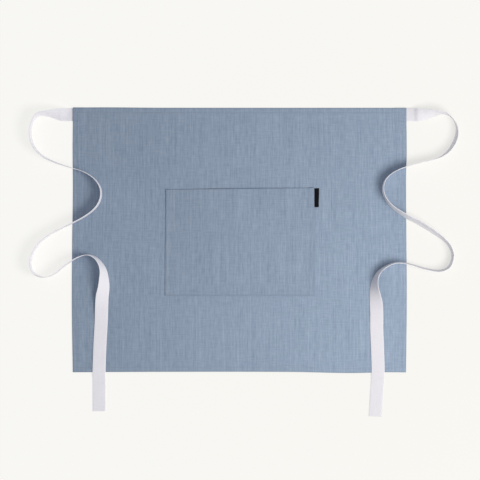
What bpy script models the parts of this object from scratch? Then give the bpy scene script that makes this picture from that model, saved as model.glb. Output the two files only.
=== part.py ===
"""A short linen waist apron lying face up, with one patch pocket and two cotton tape ties.

Metres, +Z up. The panel lies in the XY plane with the middle of its underside at the origin, its waist edge
towards +Y and its face towards +Z. The ties leave the two top corners, stand on edge in loose bends and end
flat across the panel and past its bottom edge.
"""

import math
from typing import NamedTuple

import bmesh
import bpy
from mathutils import Vector

# Panel
PANEL_WIDTH = 0.650
PANEL_HEIGHT = 0.514
PANEL_CLOTH = 0.0010
PANEL_HEM_WIDTH = 0.010
PANEL_HEM_RISE = 0.0008

# Pocket
POCKET_WIDTH = 0.289
POCKET_DEPTH = 0.207
POCKET_DROP = 0.1575
POCKET_ASIDE = 0.0012
POCKET_CLOTH = 0.0010
POCKET_MARGIN_WIDTH = 0.010
POCKET_MARGIN_RISE = 0.0006
POCKET_HEM_WIDTH = 0.0235
POCKET_HEM_RISE = 0.0006
POCKET_SWELL = 0.0048

# Side tab
TAB_LENGTH = 0.0366
TAB_REACH = 0.0097
TAB_ROOT = 0.006
TAB_THICKNESS = 0.0014
TAB_DROP = 0.0008
TAB_SLANT = 0.0010
TAB_CLEAR = 0.0012

# Ties
TIE_LENGTH = 0.988
TIE_WIDTH = 0.0254
TIE_THICKNESS = 0.0010
TIE_TUCK = 0.020
TIE_INSET = 0.0006
TIE_REACH = 0.084
TIE_STEP = 0.007

# Shared
PIECE_GAP = 0.0003
FOLD_RUN = 0.0012
DRAPE_RUN = 0.004
TIE_CLIMB = 0.012
TIE_CLEAR = 0.003
CLOTH_STEP = 0.045
POCKET_STEP = 0.020
NEAREST_CUT = 0.125
STRIDES = 8
TAB_ROUNDING = 0.45
TAB_ROUND_STEPS = 3
CUT_MERGE = 1e-7
SHARPEST_FOLD = 40.0


class Bow(NamedTuple):
    """How far an edge strays outwards: both columns are shares, of the edge and of the panel's height."""

    along: float
    out: float


class Swell(NamedTuple):
    """How far the pocket stands off the panel: shares of the pocket's depth or width, and of its swell."""

    at: float
    lift: float


class Corner(NamedTuple):
    """Where a pocket corner strays to: shares of the pocket's width and depth."""

    across: float
    up: float


class Bend(NamedTuple):
    """A place on a tie's lower edge.

    out is the distance outwards from the panel's side edge as a share of the ties' reach, down is the distance
    below the panel's top edge as a share of its height, and roll is the tape's lean in degrees: under 90 its
    upper edge leans to the inside of the tie's first bend, 90 stands it on edge and 180 lays it flat outwards.
    """

    out: float
    down: float
    roll: float


LEFT_BOW = (
    Bow(0.00, -0.0016),
    Bow(0.25, 0.0021),
    Bow(0.50, 0.0008),
    Bow(0.69, -0.0019),
    Bow(0.84, -0.0008),
    Bow(1.00, -0.0023),
)
RIGHT_BOW = (
    Bow(0.00, -0.0015),
    Bow(0.27, 0.0015),
    Bow(0.50, 0.0000),
    Bow(0.74, -0.0013),
    Bow(0.83, 0.0012),
    Bow(1.00, -0.0006),
)
TOP_BOW = (
    Bow(0.00, 0.0010),
    Bow(0.11, 0.0015),
    Bow(0.26, 0.0000),
    Bow(1.00, -0.0004),
)
BOTTOM_BOW = (
    Bow(0.00, 0.0013),
    Bow(0.30, -0.0004),
    Bow(0.65, 0.0000),
    Bow(0.83, 0.0042),
    Bow(0.95, 0.0012),
    Bow(1.00, 0.0018),
)

POCKET_TOP_LEFT = Corner(0.003, -0.008)
POCKET_TOP_RIGHT = Corner(-0.003, 0.008)
POCKET_BOTTOM_LEFT = Corner(-0.003, 0.000)
POCKET_BOTTOM_RIGHT = Corner(0.000, 0.000)

SWELL_BELOW_MOUTH = (
    Swell(0.00, 0.94),
    Swell(0.18, 1.00),
    Swell(0.40, 0.96),
    Swell(0.62, 0.70),
    Swell(0.84, 0.22),
    Swell(0.96, 0.00),
    Swell(1.00, 0.00),
)
SWELL_ACROSS = (
    Swell(0.00, 0.00),
    Swell(0.03, 0.00),
    Swell(0.14, 0.30),
    Swell(0.28, 0.82),
    Swell(0.40, 1.00),
    Swell(0.60, 1.00),
    Swell(0.72, 0.82),
    Swell(0.86, 0.30),
    Swell(0.97, 0.00),
    Swell(1.00, 0.00),
)

LEFT_TIE = (
    Bend(0.25, 0.049, 170),
    Bend(0.38, 0.042, 135),
    Bend(0.52, 0.034, 116),
    Bend(0.66, 0.029, 103),
    Bend(0.76, 0.029, 96),
    Bend(0.84, 0.038, 91),
    Bend(0.91, 0.058, 90),
    Bend(0.95, 0.092, 90),
    Bend(0.89, 0.139, 93),
    Bend(0.70, 0.177, 95),
    Bend(0.41, 0.203, 95),
    Bend(0.04, 0.225, 92),
    Bend(-0.29, 0.243, 90),
    Bend(-0.54, 0.271, 90),
    Bend(-0.67, 0.305, 90),
    Bend(-0.67, 0.343, 90),
    Bend(-0.55, 0.379, 90),
    Bend(-0.30, 0.411, 90),
    Bend(0.03, 0.440, 90),
    Bend(0.40, 0.470, 90),
    Bend(0.70, 0.504, 90),
    Bend(0.88, 0.545, 90),
    Bend(0.945, 0.590, 90),
    Bend(0.87, 0.625, 90),
    Bend(0.67, 0.640, 90),
    Bend(0.43, 0.631, 90),
    Bend(0.16, 0.597, 90),
    Bend(-0.11, 0.568, 90),
    Bend(-0.36, 0.555, 90),
    Bend(-0.55, 0.564, 93),
    Bend(-0.70, 0.586, 103),
    Bend(-0.79, 0.611, 117),
    Bend(-0.84, 0.644, 131),
    Bend(-0.86, 0.678, 146),
    Bend(-0.84, 0.715, 163),
    Bend(-0.83, 0.757, 174),
    Bend(-0.82, 0.810, 180),
    Bend(-0.79, 0.901, 180),
    Bend(-0.77, 0.999, 180),
    Bend(-0.77, 1.090, 180),
)
RIGHT_TIE = (
    Bend(0.30, 0.050, 162),
    Bend(0.50, 0.042, 136),
    Bend(0.69, 0.030, 112),
    Bend(0.87, 0.023, 91),
    Bend(1.00, 0.030, 80),
    Bend(1.10, 0.047, 80),
    Bend(1.15, 0.073, 87),
    Bend(1.13, 0.104, 95),
    Bend(1.05, 0.136, 98),
    Bend(0.91, 0.168, 96),
    Bend(0.69, 0.192, 92),
    Bend(0.36, 0.206, 90),
    Bend(-0.01, 0.223, 90),
    Bend(-0.30, 0.243, 90),
    Bend(-0.49, 0.269, 90),
    Bend(-0.56, 0.301, 90),
    Bend(-0.53, 0.334, 91),
    Bend(-0.39, 0.370, 96),
    Bend(-0.10, 0.408, 102),
    Bend(0.24, 0.439, 106),
    Bend(0.56, 0.470, 103),
    Bend(0.83, 0.499, 97),
    Bend(0.99, 0.527, 92),
    Bend(1.05, 0.562, 90),
    Bend(0.96, 0.600, 92),
    Bend(0.75, 0.613, 97),
    Bend(0.43, 0.605, 98),
    Bend(0.08, 0.589, 97),
    Bend(-0.22, 0.583, 93),
    Bend(-0.47, 0.596, 93),
    Bend(-0.68, 0.621, 98),
    Bend(-0.80, 0.655, 112),
    Bend(-0.85, 0.693, 134),
    Bend(-0.85, 0.734, 160),
    Bend(-0.84, 0.780, 173),
    Bend(-0.84, 0.833, 180),
    Bend(-0.82, 0.916, 180),
    Bend(-0.81, 0.999, 180),
    Bend(-0.84, 1.080, 180),
)


def clear_scene():
    """Remove every object of the open scene."""
    for obj in list(bpy.context.scene.objects):
        bpy.data.objects.remove(obj)


def finish(name, colour, roughness):
    """A plain cloth material."""
    material = bpy.data.materials.new(name)
    material.use_nodes = True
    shader = material.node_tree.nodes["Principled BSDF"]
    shader.inputs["Base Color"].default_value = (*colour, 1.0)
    shader.inputs["Roughness"].default_value = roughness
    shader.inputs["Metallic"].default_value = 0.0
    return material


def ramp(distance, full, run):
    """1 up to the distance full, falling in a straight line to 0 over run."""
    return min(max((full + run - distance) / run, 0.0), 1.0)


def ease(share):
    """A share from 0 to 1 with a level start and end."""
    share = min(max(share, 0.0), 1.0)
    return share * share * (3.0 - 2.0 * share)


def curve_at(rows, at):
    """The value at a place on the smooth curve through (place, value) rows."""
    last = len(rows) - 1
    index = max(i for i in range(last) if i == 0 or rows[i][0] <= at)
    places = [rows[min(max(index + shift, 0), last)][0] for shift in (-1, 0, 1, 2)]
    values = [rows[min(max(index + shift, 0), last)][1] for shift in (-1, 0, 1, 2)]
    span = places[2] - places[1]
    share = (at - places[1]) / span
    start = (values[2] - values[0]) / (places[2] - places[0]) * span
    end = (values[3] - values[1]) / (places[3] - places[1]) * span
    rise = values[2] - values[1]
    bend = share * (1.0 - share) * ((1.0 - share) * (start - rise) - share * (end - rise))
    return values[1] + rise * share + bend


def cut_places(length, spacing, named):
    """Where a blank is cut: at the named places, and evenly about every spacing, an odd number of strips."""
    strips = math.ceil(length / spacing) // 2 * 2 + 1
    even = [length * index / strips for index in range(1, strips)]
    apart = spacing * NEAREST_CUT
    free = [place for place in even if all(abs(place - other) > apart for other in named)]
    return sorted(named + free)


def cloth_blank(length, width, thickness, length_cuts, width_cuts):
    """A flat closed box from (0, 0, 0) to (length, width, thickness), cut across at each named place."""
    blank = bmesh.new()
    bmesh.ops.create_cube(blank, size=1.0)
    bmesh.ops.translate(blank, verts=blank.verts, vec=(0.5, 0.5, 0.5))
    bmesh.ops.scale(blank, verts=blank.verts, vec=(length, width, thickness))
    for direction, cuts in (((1, 0, 0), length_cuts), ((0, 1, 0), width_cuts)):
        for cut in cuts:
            whole = blank.verts[:] + blank.edges[:] + blank.faces[:]
            bmesh.ops.bisect_plane(
                blank, geom=whole, dist=CUT_MERGE, plane_co=Vector(direction) * cut, plane_no=direction
            )
    return blank


def form(blank, place):
    """Move every vertex of a blank from (along, across, through) to place(along, across, through)."""
    for vertex in blank.verts:
        vertex.co = place(*vertex.co)
    return blank


def add_piece(name, shape, material, location, parent):
    """Make an object of a formed blank, with its origin at location, under parent."""
    mesh = bpy.data.meshes.new(name)
    shape.to_mesh(mesh)
    shape.free()
    mesh.shade_smooth()
    mesh.set_sharp_from_angle(angle=math.radians(SHARPEST_FOLD))
    mesh.materials.append(material)
    piece = bpy.data.objects.new(name, mesh)
    piece.parent = parent
    piece.location = location
    bpy.context.scene.collection.objects.link(piece)
    return piece


def tuck_share(side, top):
    """1 over the sewn end of a tie, 0 clear of it, at a distance from the side edge and from the top edge."""
    return ramp(side, TIE_TUCK + PIECE_GAP, DRAPE_RUN) * ramp(
        top, TIE_INSET + TIE_WIDTH + PIECE_GAP, DRAPE_RUN
    )


def panel_place(along, across, through):
    """A point of the panel, along from its left edge and across from its bottom edge."""
    right = PANEL_WIDTH - along
    top = PANEL_HEIGHT - across
    side = min(along, right)
    end = min(across, top)
    under = (TIE_THICKNESS + PIECE_GAP) * tuck_share(side, top)
    hems = ramp(side, PANEL_HEM_WIDTH, FOLD_RUN) + ramp(end, PANEL_HEM_WIDTH, FOLD_RUN)
    wall = PANEL_CLOTH + PANEL_HEM_RISE * hems
    share_along = along / PANEL_WIDTH
    share_across = across / PANEL_HEIGHT
    sideways = share_along * curve_at(RIGHT_BOW, share_across)
    sideways -= (1.0 - share_along) * curve_at(LEFT_BOW, share_across)
    upwards = share_across * curve_at(TOP_BOW, share_along)
    upwards -= (1.0 - share_across) * curve_at(BOTTOM_BOW, share_along)
    return Vector(
        (
            along - PANEL_WIDTH / 2 + sideways * PANEL_HEIGHT,
            across - PANEL_HEIGHT / 2 + upwards * PANEL_HEIGHT,
            under + wall * through / PANEL_CLOTH,
        )
    )


def apron_panel():
    """The hemmed panel, cut where a hem steps down and where it rises over the tie ends."""
    hem_cuts = [PANEL_HEM_WIDTH, PANEL_HEM_WIDTH + FOLD_RUN]
    tuck_cuts = [TIE_TUCK + PIECE_GAP, TIE_TUCK + PIECE_GAP + DRAPE_RUN]
    tape = TIE_INSET + TIE_WIDTH + PIECE_GAP
    left_cuts = hem_cuts + tuck_cuts
    right_cuts = [PANEL_WIDTH - cut for cut in left_cuts]
    top_cuts = [PANEL_HEIGHT - cut for cut in hem_cuts + [tape, tape + DRAPE_RUN]]
    blank = cloth_blank(
        PANEL_WIDTH,
        PANEL_HEIGHT,
        PANEL_CLOTH,
        cut_places(PANEL_WIDTH, CLOTH_STEP, left_cuts + right_cuts),
        cut_places(PANEL_HEIGHT, CLOTH_STEP, hem_cuts + top_cuts),
    )
    return form(blank, panel_place)


def pocket_corner_shift(share_across, share_up):
    """How far the crooked corners move a point of the pocket."""
    shift = Vector((0.0, 0.0))
    for corner, weight in (
        (POCKET_TOP_LEFT, (1.0 - share_across) * share_up),
        (POCKET_TOP_RIGHT, share_across * share_up),
        (POCKET_BOTTOM_LEFT, (1.0 - share_across) * (1.0 - share_up)),
        (POCKET_BOTTOM_RIGHT, share_across * (1.0 - share_up)),
    ):
        shift += weight * Vector((corner.across * POCKET_WIDTH, corner.up * POCKET_DEPTH))
    return shift


def tab_cover_sides():
    """How far the pocket's corner stays lifted over the tab: in from the right edge, and below the mouth."""
    return TAB_ROOT + TAB_SLANT + TAB_CLEAR, TAB_DROP + TAB_LENGTH + TAB_CLEAR


def tab_cover(right, below):
    """1 over the tab's root, 0 clear of it, at a distance from the pocket's right edge and below its mouth."""
    inwards, downwards = tab_cover_sides()
    return ramp(right, inwards, DRAPE_RUN) * ramp(below, downwards, DRAPE_RUN)


def pocket_place(along, across, through):
    """A point of the pocket, along from its left edge and across from its bottom edge."""
    right = POCKET_WIDTH - along
    below = POCKET_DEPTH - across
    share_along = along / POCKET_WIDTH
    shift = pocket_corner_shift(share_along, across / POCKET_DEPTH)
    swell = curve_at(SWELL_BELOW_MOUTH, below / POCKET_DEPTH) * curve_at(SWELL_ACROSS, share_along)
    low = PIECE_GAP + POCKET_SWELL * swell + (TAB_THICKNESS + PIECE_GAP) * tab_cover(right, below)
    margin = ramp(min(along, right, across), POCKET_MARGIN_WIDTH, FOLD_RUN)
    hem = ramp(below, POCKET_HEM_WIDTH, FOLD_RUN)
    wall = POCKET_CLOTH + max(POCKET_MARGIN_RISE * margin, POCKET_HEM_RISE * hem)
    return Vector(
        (
            along - POCKET_WIDTH / 2 + shift.x,
            shift.y - below,
            low + wall * through / POCKET_CLOTH,
        )
    )


def pocket():
    """The patch pocket, with the middle of its mouth at its origin, open towards +Y."""
    margin_cuts = [POCKET_MARGIN_WIDTH, POCKET_MARGIN_WIDTH + FOLD_RUN]
    inwards, downwards = tab_cover_sides()
    right_cuts = [POCKET_WIDTH - cut for cut in margin_cuts + [inwards, inwards + DRAPE_RUN]]
    below_cuts = [POCKET_HEM_WIDTH, POCKET_HEM_WIDTH + FOLD_RUN, downwards, downwards + DRAPE_RUN]
    mouth_cuts = [POCKET_DEPTH - cut for cut in below_cuts]
    blank = cloth_blank(
        POCKET_WIDTH,
        POCKET_DEPTH,
        POCKET_CLOTH,
        cut_places(POCKET_WIDTH, POCKET_STEP, margin_cuts + right_cuts),
        cut_places(POCKET_DEPTH, POCKET_STEP, margin_cuts + mouth_cuts),
    )
    return form(blank, pocket_place)


def side_tab():
    """The folded tab, along from its root to its rounded fold and across from its lower end."""
    blank = cloth_blank(TAB_ROOT + TAB_REACH, TAB_LENGTH, TAB_THICKNESS, [TAB_ROOT], [])
    outer = [
        edge
        for edge in blank.edges
        if all(vertex.co.x > TAB_ROOT + TAB_REACH / 2 for vertex in edge.verts)
        and abs(edge.verts[0].co.y - edge.verts[1].co.y) > TAB_LENGTH / 2
    ]
    bmesh.ops.bevel(
        blank,
        geom=outer,
        offset=TAB_THICKNESS * TAB_ROUNDING,
        segments=TAB_ROUND_STEPS,
        profile=0.5,
        affect="EDGES",
        material=-1,
    )

    def place(along, across, through):
        below = TAB_LENGTH - across
        slant = TAB_SLANT * below / TAB_LENGTH
        return Vector((along - TAB_ROOT - slant, -below, through))

    return form(blank, place)


def bed_height(x, y):
    """The height of what a tie rests on: the table outside the panel, a hem or the cloth inside it."""
    side = PANEL_WIDTH / 2 - abs(x)
    end = y + PANEL_HEIGHT / 2
    inside = min(side, end)
    climb = ease((inside + TIE_CLEAR + TIE_CLIMB) / TIE_CLIMB)
    past_hem = (inside - PANEL_HEM_WIDTH - FOLD_RUN - PIECE_GAP) / TIE_CLIMB
    hem = PANEL_HEM_RISE * (1.0 - ease(past_hem))
    return (PANEL_CLOTH + hem + PIECE_GAP) * climb


def tie_knots(hand, bends):
    """Points (x, y, roll) of a tie's lower edge: its sewn end, its table of bends and a long straight tail."""
    edge = PANEL_WIDTH / 2
    top = PANEL_HEIGHT / 2
    sewn = top - TIE_INSET - TIE_WIDTH
    knots = [(hand * (edge - TIE_TUCK), sewn, 180.0), (hand * edge, sewn, 180.0)]
    for bend in bends:
        out = edge + bend.out * TIE_REACH
        knots.append((hand * out, top - TIE_INSET - bend.down * PANEL_HEIGHT, bend.roll))
    last = Vector(knots[-1][:2])
    heading = (last - Vector(knots[-2][:2])).normalized()
    tail = last + heading * TIE_LENGTH
    return knots + [(tail.x, tail.y, knots[-1][2])]


def tie_stations(hand, bends):
    """Stations (x, y, roll) evenly along a tie's lower edge, from its sewn end to its free end."""
    knots = tie_knots(hand, bends)
    places = [0.0]
    for before, after in zip(knots, knots[1:]):
        places.append(places[-1] + math.dist(before[:2], after[:2]))
    columns = [[(place, knot[index]) for place, knot in zip(places, knots)] for index in range(3)]
    count = math.ceil(TIE_LENGTH / TIE_STEP)
    spacing = TIE_LENGTH / count
    stride = spacing / STRIDES
    stations = [knots[0]]
    walked = 0.0
    place = 0.0
    point = knots[0]
    while len(stations) <= count:
        place += stride
        ahead = tuple(curve_at(column, place) for column in columns)
        step = math.dist(point[:2], ahead[:2])
        while len(stations) <= count and walked + step >= spacing * len(stations):
            share = (spacing * len(stations) - walked) / step
            stations.append(tuple(a + (b - a) * share for a, b in zip(point, ahead)))
        walked += step
        point = ahead
    return stations


def tie(hand, bends):
    """One tie: a straight tape bent along its stations, hand -1 for the left one and 1 for the right one."""
    stations = tie_stations(hand, bends)
    count = len(stations) - 1
    spacing = TIE_LENGTH / count
    blank = cloth_blank(
        TIE_LENGTH, TIE_WIDTH, TIE_THICKNESS, [spacing * index for index in range(1, count)], []
    )
    corner = Vector((hand * PANEL_WIDTH / 2, PANEL_HEIGHT / 2 - TIE_INSET, 0.0))

    def place(along, across, through):
        index = round(along / spacing)
        x, y, roll = stations[index]
        before = stations[max(index - 1, 0)]
        after = stations[min(index + 1, count)]
        heading = Vector((after[0] - before[0], after[1] - before[1], 0.0)).normalized()
        inwards = Vector((hand * heading.y, -hand * heading.x, 0.0))
        lean = math.radians(min(max(roll, 0.0), 180.0))
        width = inwards * math.cos(lean) + Vector((0.0, 0.0, math.sin(lean)))
        face = heading.cross(width)
        free = along > TIE_TUCK + TIE_CLEAR + TIE_CLIMB
        bed = bed_height(x, y) if free else 0.0
        base = Vector((x, y, bed + TIE_THICKNESS / 2 * abs(math.cos(lean))))
        return base + width * across + face * (through - TIE_THICKNESS / 2) - corner

    return form(blank, place)


def build():
    """Every piece of the apron, under one empty at the middle of the panel's underside."""
    clear_scene()
    apron = bpy.data.objects.new("waist_apron", None)
    bpy.context.scene.collection.objects.link(apron)
    linen = finish("blue_linen", (0.254, 0.323, 0.407), 0.85)
    cotton = finish("white_cotton_tape", (0.78, 0.77, 0.81), 0.8)
    black = finish("black_tape", (0.012, 0.012, 0.014), 0.7)
    mouth = PANEL_HEIGHT / 2 - POCKET_DROP
    mouth_end = mouth + POCKET_TOP_RIGHT.up * POCKET_DEPTH
    right_seam = POCKET_ASIDE + POCKET_WIDTH * (0.5 + POCKET_TOP_RIGHT.across)
    tab_place = (right_seam, mouth_end - TAB_DROP, PANEL_CLOTH + PIECE_GAP)
    corner = PANEL_HEIGHT / 2 - TIE_INSET
    add_piece("apron_panel", apron_panel(), linen, (0.0, 0.0, 0.0), apron)
    add_piece("pocket", pocket(), linen, (POCKET_ASIDE, mouth, PANEL_CLOTH), apron)
    add_piece("side_tab", side_tab(), black, tab_place, apron)
    for name, hand, bends in (("left_tie", -1, LEFT_TIE), ("right_tie", 1, RIGHT_TIE)):
        add_piece(name, tie(hand, bends), cotton, (hand * PANEL_WIDTH / 2, corner, 0.0), apron)


build()
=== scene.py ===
"""A short blue linen waist apron with a patch pocket and two white cotton tape ties, lying face up.

Metres, +Z up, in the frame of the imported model: the origin is the middle of the panel's underside, +Y runs
towards the waist edge and +Z out of the apron's face. Each cloth is a flat blank whose edges are folded under
as they are sewn, and each tie is one straight tape bent along its route.
"""

import logging
import math
from dataclasses import dataclass, field
from enum import Enum
from typing import Callable, NamedTuple, Optional, Sequence, Union

import bmesh
import bpy
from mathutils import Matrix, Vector, noise


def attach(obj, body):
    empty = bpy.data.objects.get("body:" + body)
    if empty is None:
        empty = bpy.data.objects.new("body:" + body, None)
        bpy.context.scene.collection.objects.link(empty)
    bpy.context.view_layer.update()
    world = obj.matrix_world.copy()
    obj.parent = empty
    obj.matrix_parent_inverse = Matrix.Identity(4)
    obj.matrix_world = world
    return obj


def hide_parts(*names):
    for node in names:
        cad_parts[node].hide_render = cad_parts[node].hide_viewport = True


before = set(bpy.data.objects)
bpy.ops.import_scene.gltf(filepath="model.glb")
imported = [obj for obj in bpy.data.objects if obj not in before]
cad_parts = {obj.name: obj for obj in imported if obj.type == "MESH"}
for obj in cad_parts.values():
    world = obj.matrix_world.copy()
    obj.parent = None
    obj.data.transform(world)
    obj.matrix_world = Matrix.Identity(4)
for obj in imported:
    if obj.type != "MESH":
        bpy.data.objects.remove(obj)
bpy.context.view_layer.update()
log = logging.getLogger("apron")

Colour = tuple[float, float, float]
Pair = tuple[float, float]
Rows = Sequence[tuple[float, float]]
Surface = Callable[[float, float], Vector]

WEAVE_MAP = "weave"
FOLD_SHARE = "fold"

# Sizes that more than one piece follows.
CLEARANCE = 0.0003
REST = 0.00012
EDGE_ROUNDING = 0.3
TIE_WIDTH = 0.0254
TIE_THICKNESS = 0.0010
TIE_TUCK = 0.020
TIE_INSET = 0.0006
TAB_LENGTH = 0.0366
TAB_ROOT = 0.006
TAB_DROP = 0.0008
TAB_SLANT = 0.0010


class Bow(NamedTuple):
    """How far an edge strays outwards: both columns are shares, of the edge and of the panel's height."""

    along: float
    out: float


class Swell(NamedTuple):
    """How far the pocket stands off the panel: shares of the pocket's depth or width, and of its swell."""

    at: float
    lift: float


class Corner(NamedTuple):
    """Where a pocket corner strays to: shares of the pocket's width and depth."""

    across: float
    up: float


class Bend(NamedTuple):
    """A place on a tie's lower edge.

    out is the distance outwards from the panel's side edge as a share of the ties' reach. down is the
    distance below the panel's top edge as a share of its height. roll is the tape's lean in degrees: under 90
    its upper edge leans to the inside of the tie's first bend, 90 stands it on edge and 180 lays it flat.
    """

    out: float
    down: float
    roll: float


LEFT_BOW = (
    Bow(0.00, -0.0016),
    Bow(0.25, 0.0021),
    Bow(0.50, 0.0008),
    Bow(0.69, -0.0019),
    Bow(0.84, -0.0008),
    Bow(1.00, -0.0023),
)
RIGHT_BOW = (
    Bow(0.00, -0.0015),
    Bow(0.27, 0.0015),
    Bow(0.50, 0.0000),
    Bow(0.74, -0.0013),
    Bow(0.83, 0.0012),
    Bow(1.00, -0.0006),
)
TOP_BOW = (
    Bow(0.00, 0.0010),
    Bow(0.11, 0.0015),
    Bow(0.26, 0.0000),
    Bow(1.00, -0.0004),
)
BOTTOM_BOW = (
    Bow(0.00, 0.0013),
    Bow(0.30, -0.0004),
    Bow(0.65, 0.0000),
    Bow(0.83, 0.0042),
    Bow(0.95, 0.0012),
    Bow(1.00, 0.0018),
)

POCKET_TOP_LEFT = Corner(0.003, -0.008)
POCKET_TOP_RIGHT = Corner(-0.003, 0.008)
POCKET_BOTTOM_LEFT = Corner(-0.003, 0.000)
POCKET_BOTTOM_RIGHT = Corner(0.000, 0.000)

SWELL_BELOW_MOUTH = (
    Swell(0.00, 0.94),
    Swell(0.18, 1.00),
    Swell(0.40, 0.96),
    Swell(0.62, 0.70),
    Swell(0.84, 0.22),
    Swell(0.96, 0.00),
    Swell(1.00, 0.00),
)
SWELL_ACROSS = (
    Swell(0.00, 0.00),
    Swell(0.03, 0.00),
    Swell(0.14, 0.30),
    Swell(0.28, 0.82),
    Swell(0.40, 1.00),
    Swell(0.60, 1.00),
    Swell(0.72, 0.82),
    Swell(0.86, 0.30),
    Swell(0.97, 0.00),
    Swell(1.00, 0.00),
)

LEFT_TIE = (
    Bend(0.25, 0.049, 170),
    Bend(0.38, 0.042, 135),
    Bend(0.52, 0.034, 116),
    Bend(0.66, 0.029, 103),
    Bend(0.76, 0.029, 96),
    Bend(0.84, 0.038, 91),
    Bend(0.91, 0.058, 90),
    Bend(0.95, 0.092, 90),
    Bend(0.89, 0.139, 93),
    Bend(0.70, 0.177, 95),
    Bend(0.41, 0.203, 95),
    Bend(0.04, 0.225, 92),
    Bend(-0.29, 0.243, 90),
    Bend(-0.54, 0.271, 90),
    Bend(-0.67, 0.305, 90),
    Bend(-0.67, 0.343, 90),
    Bend(-0.55, 0.379, 90),
    Bend(-0.30, 0.411, 90),
    Bend(0.03, 0.440, 90),
    Bend(0.40, 0.470, 90),
    Bend(0.70, 0.504, 90),
    Bend(0.88, 0.545, 90),
    Bend(0.945, 0.590, 90),
    Bend(0.87, 0.625, 90),
    Bend(0.67, 0.640, 90),
    Bend(0.43, 0.631, 90),
    Bend(0.16, 0.597, 90),
    Bend(-0.11, 0.568, 90),
    Bend(-0.36, 0.555, 90),
    Bend(-0.55, 0.564, 93),
    Bend(-0.70, 0.586, 103),
    Bend(-0.79, 0.611, 117),
    Bend(-0.84, 0.644, 131),
    Bend(-0.86, 0.678, 146),
    Bend(-0.84, 0.715, 163),
    Bend(-0.83, 0.757, 174),
    Bend(-0.82, 0.810, 180),
    Bend(-0.79, 0.901, 180),
    Bend(-0.77, 0.999, 180),
    Bend(-0.77, 1.090, 180),
)
RIGHT_TIE = (
    Bend(0.30, 0.050, 162),
    Bend(0.50, 0.042, 136),
    Bend(0.69, 0.030, 112),
    Bend(0.87, 0.023, 91),
    Bend(1.00, 0.030, 80),
    Bend(1.10, 0.047, 80),
    Bend(1.15, 0.073, 87),
    Bend(1.13, 0.104, 95),
    Bend(1.05, 0.136, 98),
    Bend(0.91, 0.168, 96),
    Bend(0.69, 0.192, 92),
    Bend(0.36, 0.206, 90),
    Bend(-0.01, 0.223, 90),
    Bend(-0.30, 0.243, 90),
    Bend(-0.49, 0.269, 90),
    Bend(-0.56, 0.301, 90),
    Bend(-0.53, 0.334, 91),
    Bend(-0.39, 0.370, 96),
    Bend(-0.10, 0.408, 102),
    Bend(0.24, 0.439, 106),
    Bend(0.56, 0.470, 103),
    Bend(0.83, 0.499, 97),
    Bend(0.99, 0.527, 92),
    Bend(1.05, 0.562, 90),
    Bend(0.96, 0.600, 92),
    Bend(0.75, 0.613, 97),
    Bend(0.43, 0.605, 98),
    Bend(0.08, 0.589, 97),
    Bend(-0.22, 0.583, 93),
    Bend(-0.47, 0.596, 93),
    Bend(-0.68, 0.621, 98),
    Bend(-0.80, 0.655, 112),
    Bend(-0.85, 0.693, 134),
    Bend(-0.85, 0.734, 160),
    Bend(-0.84, 0.780, 173),
    Bend(-0.84, 0.833, 180),
    Bend(-0.82, 0.916, 180),
    Bend(-0.81, 0.999, 180),
    Bend(-0.84, 1.080, 180),
)


class Hand(Enum):
    """Which side of the apron a tie is sewn to."""

    LEFT = -1
    RIGHT = 1


def ramp(distance: float, full: float, run: float) -> float:
    """Fall from 1 to 0.

    Args:
        distance: Where the value is wanted.
        full: The value is 1 up to here.
        run: How far it takes to reach 0.

    Returns:
        A share from 0 to 1, falling with a level start and end.
    """
    return 1.0 - ease((distance - full) / run)


def ease(share: float) -> float:
    """A share from 0 to 1 with a level start and end."""
    share = min(max(share, 0.0), 1.0)
    return share * share * (3.0 - 2.0 * share)


def ridge(distance: float, reach: float) -> float:
    """1 at no distance, falling with level ends to 0 at reach on both sides."""
    return 1.0 - ease(abs(distance) / reach)


def curve_at(rows: Rows, at: float) -> float:
    """Read a smooth curve.

    Args:
        rows: Its (place, value) rows, in order of place.
        at: The place that is wanted.

    Returns:
        The value there on the curve through the rows.
    """
    last = len(rows) - 1
    index = max(i for i in range(last) if i == 0 or rows[i][0] <= at)
    places = [rows[min(max(index + shift, 0), last)][0] for shift in (-1, 0, 1, 2)]
    values = [rows[min(max(index + shift, 0), last)][1] for shift in (-1, 0, 1, 2)]
    span = places[2] - places[1]
    share = (at - places[1]) / span
    start = (values[2] - values[0]) / (places[2] - places[0]) * span
    end = (values[3] - values[1]) / (places[3] - places[1]) * span
    rise = values[2] - values[1]
    bend = share * (1.0 - share) * ((1.0 - share) * (start - rise) - share * (end - rise))
    return values[1] + rise * share + bend


def waver(x: float, y: float, wavelength: float, seed: float) -> float:
    """A smooth random value from about -1 to 1, the same each run, that changes over a wavelength."""
    return noise.noise(Vector((x / wavelength, y / wavelength, seed)))


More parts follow.
